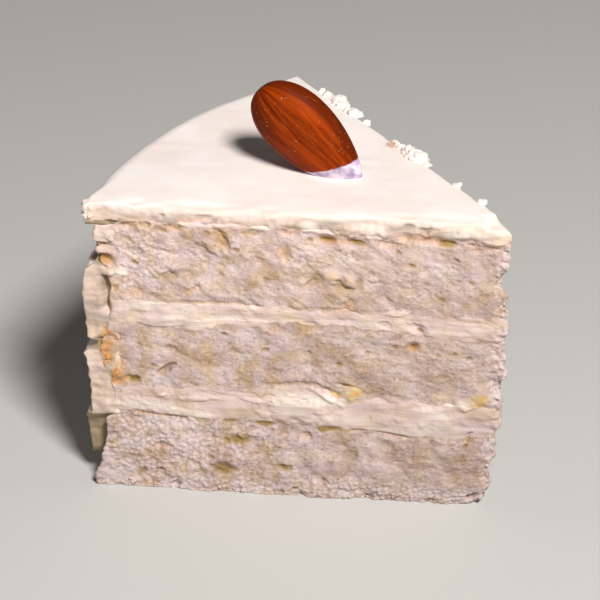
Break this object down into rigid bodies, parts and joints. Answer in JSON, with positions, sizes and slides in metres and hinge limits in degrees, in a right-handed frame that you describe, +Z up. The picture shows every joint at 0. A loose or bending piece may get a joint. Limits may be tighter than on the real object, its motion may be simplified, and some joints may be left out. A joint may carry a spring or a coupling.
{
  "type": "chiffon cake slice",
  "caption": "Wedge of layered chiffon cake with cream fillings, pale cream icing on the top and the curved outside, and an almond stuck in the top.",
  "frame": {"origin": "centre of the slice's outer box, on the flat underside that it stands on", "axes": "+Z up, +X towards the tip of the wedge, -Y out of the front cut, -X and +Y towards the curved outside and the back cut"},
  "size_m": [0.077, 0.0632, 0.0761],
  "materials": {
    "sponge": "matte, open pale crumb with pits, browned in patches at the crust",
    "cream_filling": "smooth, soft, slightly moist cream with smears",
    "icing": "smooth pale cream with faint spreading marks",
    "almond_skin": "ridged dull brown skin"
  },
  "bodies": {
    "root": {"sponge_bottom": "sponge", "filling_lower": "cream_filling", "sponge_middle": "sponge", "filling_upper": "cream_filling", "sponge_top": "sponge", "icing": "icing", "almond": "almond_skin"}
  },
  "joints": []
}
